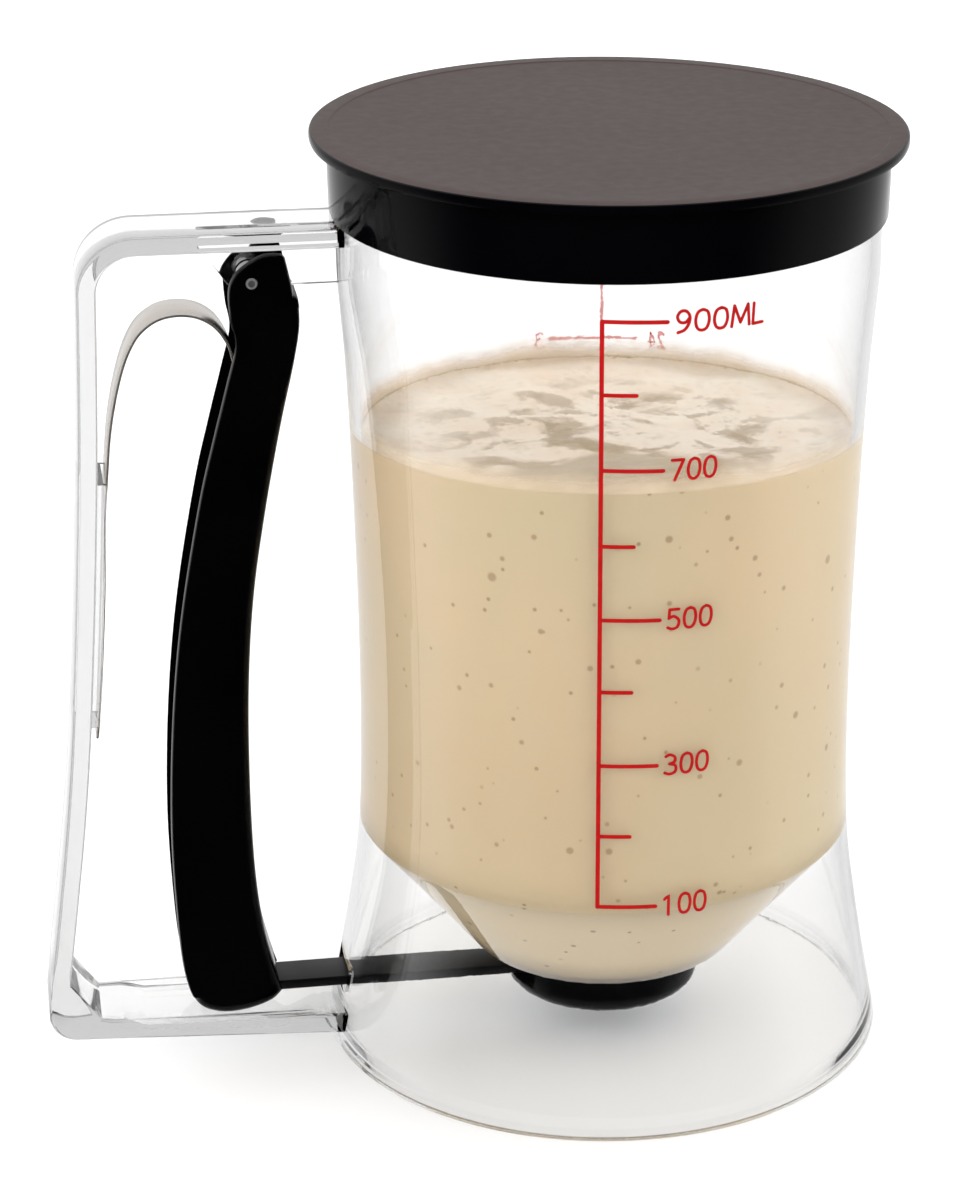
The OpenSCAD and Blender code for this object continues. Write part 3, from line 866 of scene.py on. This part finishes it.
# the second scale, on the far side: cups on one hand and fluid ounces on the other
OFFSET = math.radians(9.0)
rear = [([(0.0, z) for z in np.linspace(142.0, 47.4, 60)], 0.62, True)]
for cups, oz, z in ((1, 8, 63.2), (2, 16, 94.8), (3, 24, 126.4)):
    rear.append(([(-7.0, z), (11.0, z)], 0.60, False))
    rear += text_strokes(str(cups), 12.3, z - 1.5, 3.0, 2.2, 0.44, 0.02)
    rear += text_strokes(str(oz), -9.4 - 1.95 * len(str(oz)), z - 1.5, 3.0, 1.95, 0.44, 0.02)
    rear.append(([(-4.5, z - 15.8), (4.5, z - 15.8)], 0.60, False))
o = strokes_to_mesh("scale_rear", rear,
                    lambda a, R, z: (-R * math.sin(a - OFFSET), R * math.cos(a - OFFSET), z), 0.6)
finish_mesh(o, M_INK_THIN, 40, "jug")

# ------------------------------------------------------------- trigger ------
back_ctl = [(61.4, 163.0), (65.0, 163.0), (68.2, 161.4), (70.6, 159.2), (71.7, 156.2), (71.5, 151.0),
            (70.8, 145.5), (72.6, 138.0), (75.4, 127.4), (78.2, 116.0), (81.8, 97.0), (84.0, 81.0),
            (85.4, 64.0), (86.0, 47.0), (85.6, 31.0), (84.6, 18.0), (82.3, 10.6), (77.8, 8.0), (72.2, 8.2),
            (67.5, 9.8), (65.2, 12.0)]
front_ctl = [(65.2, 12.0), (66.8, 17.6), (68.6, 26.0), (69.9, 38.0), (70.4, 55.0), (70.1, 76.0), (68.7, 95.0),
             (66.1, 112.0), (62.8, 129.0), (60.1, 141.0), (58.7, 149.0), (58.9, 154.7)]
BACK, FRONT = smooth(back_ctl, 7), smooth(front_ctl, 8)
head = rounded([(59.6, 154.6), (59.9, 156.6), (61.0, 162.2), (61.6, 162.95), (64.8, 162.9)], 0.5, 3)
outline = list(BACK[3:]) + list(FRONT[1:-1]) + [(58.9, 154.0), (59.1, 154.6), (59.7, 154.9), (59.9, 156.6), (61.1, 162.2), (61.7, 162.9)]
front_u = lambda z: float(np.interp(z, FRONT[:, 1], FRONT[:, 0]))
lever = slab("trigger_body", outline, -7.5, 7.5, 2.1, 8,
             lambda p: (min(1.0, max(0.3, (148 - p[1]) / 22)) if p[0] < front_u(p[1]) + 4.0 or p[1] < 12.0 else 0.2))
web = [p + np.array((1.8, 0)) for p in FRONT if p[1] > 16.2]
cav = [(40, 175), (40, 155.2), (60.2, 155.2), (60.7, 154.6)] + [tuple(p) for p in web[::-1] if p[1] < 153.6]
cav += [(68.3, 15.6), (67.9, 15.2), (40, 15.2), (40, 0), (110, 0), (110, 175)]
cavity = slab("cavity", cav, -6.0, 6.0, 0.9, 4)
boolean(lever, [cavity], "DIFFERENCE")
boolean(lever, [cross_cyl("hole", (67.4, 157.8), 1.16, 30, 48)], "DIFFERENCE")
tidy(lever)
finish_mesh(lever, M_BLACK, 36, "trigger", ["trigger_lever"])


def pin_mesh(name, c, r, w, dimple):
    h = w / 2
    P = [(0, -h + dimple * 0.6), (r * 0.42, -h + dimple * 0.5), (r * 0.52, -h + 0.04), (r * 0.60, -h), (r * 0.80, -h),
         (r * 0.94, -h + 0.06), (r, -h + 0.18)]
    P = P + [(a, -b) for a, b in reversed(P)]
    o = lathe(name, P, 48, closed=False)
    o.data.transform(Matrix.Translation((-c[0], 0, c[1])) @ Matrix.Rotation(math.pi / 2, 4, "X"))
    return o


pin = pin_mesh("hinge_pin_steel", (67.4, 157.8), 1.1, 15.0, 0.5)
finish_mesh(pin, [M_PIN, M_DIMPLE_SHADE], 40, "jug", ["hinge_pin"])
# the dimple faces get the painted-shade steel
for f in pin.data.polygons:
    c = f.center
    if math.hypot(c.x + 0.0674, c.z - 0.1578) < 0.00066 and abs(c.y) > 0.0065:
        f.material_index = 1
finish_mesh(pin_mesh("drive_pin_black", (72.5, 14.5), 1.25, 14.8, 0.2), M_BLACK, 40, "trigger", ["drive_pin"])

# -------------------------------------------------------------- spring ------
spring_ctl = [(65.6, 129.0), (67.2, 132.6), (69.2, 137.0), (70.7, 141.2), (71.8, 145.4), (74.0, 148.9),
              (77.2, 151.0), (81.0, 151.6), (84.8, 150.8), (88.0, 148.4), (90.1, 145.0), (91.6, 141.0),
              (93.0, 135.6), (94.2, 129.0), (95.1, 120.5), (95.8, 112.6), (96.6, 97.0), (97.9, 80.0), (99.1, 67.5)]
S = smooth(spring_ctl, 8)
d = np.gradient(S, axis=0)
nrm = np.stack([-d[:, 1], d[:, 0]], 1) / np.linalg.norm(d, axis=1)[:, None]
n_ = len(S)
taper = [5.2 if i < n_ - 6 else 5.2 - 1.9 * ((i - n_ + 7) / 6) ** 1.6 for i in range(n_)]
spring = ribbon("leaf_spring_steel", S + nrm * 0.25, S - nrm * 0.25, taper, 0.16, 3)
finish_mesh(spring, M_STEEL, 40, None, ["leaf_spring"])
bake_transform(spring)

# ---------------------------------------------------------------- gate ------
strip = [(-75.6, -4.2), (-15.2, -4.2), (-13.6, -6.2), (1.8, -6.2)]
strip += list(arc((1.8, 0), 6.2, -90, 90, 28))[1:-1]
strip += [(1.8, 6.2), (-13.6, 6.2), (-15.2, 4.2), (-75.6, 4.2)]
blade = plan("gate_strip", strip, 10.8, 12.8, 0.28, 3)
finish_mesh(blade, M_GATE, 36, "gate", ["gate_blade"])
D, LIFT = (72.5, 14.5), (14.5 - 157.8) * (math.cos(math.radians(8)) - 1) + 5.1 * math.sin(math.radians(8))
top_z = D[1] + LIFT + 2.3
eye = slab("gate_eye_black", rounded([(69.4, 12.82), (75.6, 12.82), (75.6, top_z - 1.5), (74.2, top_z), (70.9, top_z), (69.4, top_z - 1.5)],
                                     (0, 0, 0.8, 0.8, 0.8, 0.8)), -4.2, 4.2, 0.3)
e = 1.34
hole = list(arc(D, e, 180, 360, 20)) + list(arc((D[0], D[1] + LIFT), e, 0, 180, 20))
boolean(eye, [slab("eye_hole", hole, -9, 9, 0)], "DIFFERENCE")
tidy(eye)
finish_mesh(eye, M_GATE, 36, "gate", ["gate_eye"])

# -------------------------------------------------------------- collar ------
cp = [(6.5, 7.9), (6.5, 10.2), (6.8, 10.5), (15.3, 10.5), (15.3, 16.6), (15.6, 16.9), (18.6, 16.9), (19.0, 16.75),
      (19.2, 16.4), (19.2, 14.9), (19.05, 14.6), (19.2, 14.3)]
cp += [(19.2, 11.0)] + list(arc((16.2, 10.6), 3.0, 0, -90, 9)) + [(14.0, 7.6), (6.8, 7.6)]
collar = lathe("valve_collar_black", cp, 128)
notch = plan("notch", rounded([(-30, -11.2), (-2, -11.2), (-2, 11.2), (-30, 11.2)], 0.4), 10.5, 22, 0)
cutters = [notch]
for a in (90, 270):
    ring = lathe("groove", [(10, 13.7), (17.1, 13.7), (17.1, 15.7), (10, 15.7)], 96)
    wedge = [(0, 0)]
    for k in range(9):
        b = math.radians(a - 24.5 + (9.5 + 24.5) * k / 8)
        wedge.append((26 * math.cos(b), 26 * math.sin(b)))
    w = plan("wedge", wedge, 12, 18, 0)
    boolean(ring, [w], "INTERSECT")
    drop = lathe("drop", [(10, 13.7), (17.1, 13.7), (17.1, 24), (10, 24)], 96)
    b0, c0 = math.radians(a - 15), 2.8
    ux, uy = (math.cos(b0), math.sin(b0)), (-math.sin(b0), math.cos(b0))
    q = [(ux[0] * r + uy[0] * t, ux[1] * r + uy[1] * t) for r, t in ((5, -c0), (22, -c0), (22, c0), (5, c0))]
    boolean(drop, [plan("box", q, 13, 23, 0)], "INTERSECT")
    cutters += [ring, drop]
boolean(collar, cutters, "DIFFERENCE")
tidy(collar)
finish_mesh(collar, M_COLLAR, 36, "collar", ["valve_collar"])

seal = lathe("seal_ring_soft", [(5.0, 13.15), (5.0, 14.85), (5.15, 15.0), (11.7, 15.0), (11.88, 14.8), (11.88, 13.2), (11.7, 13.0),
                                (10.4, 13.0), (10.2, 13.15), (9.9, 13.15), (9.7, 13.0), (5.15, 13.0)], 128)
finish_mesh(seal, M_SEAL, 36, "jug", ["seal_ring"])

# ----------------------------------------------------------------- lid ------
ld = [(0, 181.0), (54.9, 181.0), (55.3, 181.25), (55.5, 181.7), (55.5, 182.6), (55.36, 182.9), (55.05, 183.05),
      (52.05, 183.05), (51.95, 182.98), (51.85, 182.92), (51.6, 182.9), (30, 182.9), (0, 182.9)]
lid = lathe("lid_top", ld, 256, closed=False)
for f in lid.data.polygons:
    pass
finish_mesh(lid, [M_LID, M_SKIRT], 30, "lid", ["lid_disc"])
# the top faces keep the painted sheen; the rim and underside take the plain black
for f in lid.data.polygons:
    c = f.center
    r = math.hypot(c.x, c.y)
    if f.normal.z < 0.3 or r > 0.05515:
        f.material_index = 1
sk = [(51.3, 181.0), (51.3, 168.3), (51.42, 168.06), (51.62, 168.0), (51.85, 168.0), (52.04, 168.08), (52.1, 168.3), (52.4, 181.0)]
skirt = lathe("lid_skirt_black", sk, 256)
finish_mesh(skirt, M_SKIRT, 36, "lid", ["lid_skirt"])

# ---------------------------------------------------------------- stage -----
floor = make("floor", [(-6000, -6000, 0), (6000, -6000, 0), (6000, 6000, 0), (-6000, 6000, 0)], [(0, 1, 2, 3)])
floor.data.transform(Matrix.Scale(0.001, 4))
mf, nt, p, out = material("floor_white")
nt.links.new(mixc(nt, remap(nt, noise(nt, coords(nt), 3, 2), 0, 1), (0.752, 0.753, 0.756, 1), (0.762, 0.763, 0.766, 1)), p.inputs["Base Color"])
p.inputs["Roughness"].default_value = 0.7
p.inputs["Specular IOR Level"].default_value = 0.2
# anything that has already been reflected once looks past the table
lp = node(nt, "ShaderNodeLightPath")
seen = node(nt, "ShaderNodeMath", operation="MINIMUM")
nt.links.new(lp.outputs["Glossy Depth"], seen.inputs[0])
seen.inputs[1].default_value = 1.0
lit = node(nt, "ShaderNodeMath", operation="SUBTRACT")
lit.use_clamp = True
nt.links.new(seen.outputs[0], lit.inputs[0])
nt.links.new(lp.outputs["Is Diffuse Ray"], lit.inputs[1])
past = node(nt, "ShaderNodeMixShader")
nt.links.new(lit.outputs[0], past.inputs[0])
nt.links.new(p.outputs[0], past.inputs[1])
nt.links.new(node(nt, "ShaderNodeBsdfTransparent").outputs[0], past.inputs[2])
nt.links.new(past.outputs[0], out.inputs[0])
floor.data.materials.append(mf)

floor.visible_glossy = False

world = bpy.data.worlds.new("studio")
bpy.context.scene.world = world
world.use_nodes = True
world.cycles.sampling_method = "NONE"
nt = world.node_tree
nt.nodes.clear()
wo = nt.nodes.new("ShaderNodeOutputWorld")
tc = nt.nodes.new("ShaderNodeTexCoord")
sx = nt.nodes.new("ShaderNodeSeparateXYZ")
nt.links.new(tc.outputs["Generated"], sx.inputs[0])


def along(v):
    """How far a direction points along v, by heading alone."""
    flat = nt.nodes.new("ShaderNodeCombineXYZ")
    nt.links.new(sx.outputs[0], flat.inputs[0])
    nt.links.new(sx.outputs[1], flat.inputs[1])
    unit = nt.nodes.new("ShaderNodeVectorMath")
    unit.operation = "NORMALIZE"
    nt.links.new(flat.outputs[0], unit.inputs[0])
    d = nt.nodes.new("ShaderNodeVectorMath")
    d.operation = "DOT_PRODUCT"
    nt.links.new(unit.outputs[0], d.inputs[0])
    d.inputs[1].default_value = v
    return d.outputs["Value"]


def ramp(sock, lo, hi, a, b, kind="SMOOTHSTEP"):
    return remap(nt, sock, a, b, lo, hi, kind)


def maths(op, a, b):
    n = nt.nodes.new("ShaderNodeMath")
    n.operation = op
    for k, v in ((0, a), (1, b)):
        if isinstance(v, bpy.types.NodeSocket):
            nt.links.new(v, n.inputs[k])
        else:
            n.inputs[k].default_value = v
    return n.outputs[0]


def background(value):
    bg = nt.nodes.new("ShaderNodeBackground")
    bg.inputs[0].default_value = (1, 1, 1, 1)
    if isinstance(value, bpy.types.NodeSocket):
        nt.links.new(value, bg.inputs[1])
    else:
        bg.inputs[1].default_value = value
    return bg


back, side = (0.17, 0.985, 0.0), (0.985, -0.17, 0.0)
# what gloss picks up: black flags before the table, white panels beside and behind it
gloss = maths("MULTIPLY", ramp(along(back), -0.60, 0.05, 0.0, 0.95), ramp(along(side), 0.2, 0.9, 1.0, 0.72))
# inside the clear plastic the same rays meet a slightly wider pale room
lp = nt.nodes.new("ShaderNodeLightPath")
wide = maths("MAXIMUM", ramp(along(back), -0.55, 0.10, 0.04, 1.0),
             maths("MAXIMUM", ramp(maths("ABSOLUTE", sx.outputs[2], 0.0), 0.45, 0.60, 0.0, 1.0),
                   ramp(lp.outputs["Glossy Depth"], 1.0, 2.0, 0.0, 1.0, "LINEAR")))
inside = maths("MULTIPLY", ramp(lp.outputs["Transmission Depth"], 0.0, 1.0, 0.0, 0.82, "LINEAR"), wide)
gloss = maths("MAXIMUM", gloss, inside)
reflected = maths("MINIMUM", lp.outputs["Glossy Depth"], 1.0)
# what matt surfaces receive: a low ring of panels under a softer ceiling
ring = maths("MULTIPLY", ramp(sx.outputs[2], 0.42, 0.86, 3.3, 0.6),
             maths("MULTIPLY", ramp(along((-0.17, -0.985, 0)), 0.1, 0.9, 1.18, 0.70), ramp(along((-0.985, 0.17, 0)), -1.0, 1.0, 1.0, 1.08)))
bg_see, bg_gloss, bg_lit = background(1.05), background(gloss), background(ring)
m1 = nt.nodes.new("ShaderNodeMixShader")
nt.links.new(reflected, m1.inputs[0])
nt.links.new(bg_see.outputs[0], m1.inputs[1])
nt.links.new(bg_gloss.outputs[0], m1.inputs[2])
m2 = nt.nodes.new("ShaderNodeMixShader")
nt.links.new(lp.outputs["Is Diffuse Ray"], m2.inputs[0])
nt.links.new(m1.outputs[0], m2.inputs[1])
nt.links.new(bg_lit.outputs[0], m2.inputs[2])
nt.links.new(m2.outputs[0], wo.inputs[0])


def area(name, loc, target, size, power, size_y=None):
    L = bpy.data.lights.new(name, "AREA")
    L.energy = power
    L.shape = "RECTANGLE"
    L.size, L.size_y = size, size_y or size
    L.use_shadow = True
    o = bpy.data.objects.new(name, L)
    bpy.context.scene.collection.objects.link(o)
    o.location = loc
    o.rotation_mode = "QUATERNION"
    o.rotation_quaternion = (Vector(target) - Vector(loc)).to_track_quat("-Z", "Y")
    o.visible_glossy = False
    o.visible_transmission = False
    return o


area("key", (-0.9, -0.5, 0.8), (0, 0, 0.1), 0.8, 2.5)

# ---------------------------------------------------------------- camera ----
cam = bpy.data.objects.new("camera", bpy.data.cameras.new("camera"))
bpy.context.scene.collection.objects.link(cam)
head_, pitch, roll = math.radians(10.5288), math.radians(21.914), math.radians(0.564)
fwd = Vector((math.sin(head_) * math.cos(pitch), math.cos(head_) * math.cos(pitch), -math.sin(pitch)))
right = Vector((math.cos(head_), -math.sin(head_), 0))
up = right.cross(fwd)
r2 = right * math.cos(roll) + up * math.sin(roll)
u2 = up * math.cos(roll) - right * math.sin(roll)
mat = Matrix((r2, u2, -fwd)).transposed().to_4x4()
mat.translation = Vector((-0.11566, -0.62822, 0.34539))
cam.matrix_world = mat
cam.data.sensor_fit = "AUTO"
cam.data.sensor_width = 36.0
cam.data.lens = 3535.58 / 1200 * 36
cam.data.shift_x = (478 - 610.58) / 1200
cam.data.shift_y = (600.47 - 600) / 1200
cam.data.clip_start, cam.data.clip_end = 0.05, 50
cam.data.dof.use_dof = False
bpy.context.scene.camera = cam

sc = bpy.context.scene
sc.view_settings.view_transform = "Standard"
sc.view_settings.look = "None"
sc.view_settings.exposure = 0.0
sc.cycles.max_bounces = 40
sc.cycles.transmission_bounces = 32
sc.cycles.transparent_max_bounces = 24
sc.cycles.glossy_bounces = 32
sc.cycles.diffuse_bounces = 4
sc.cycles.use_denoising = True
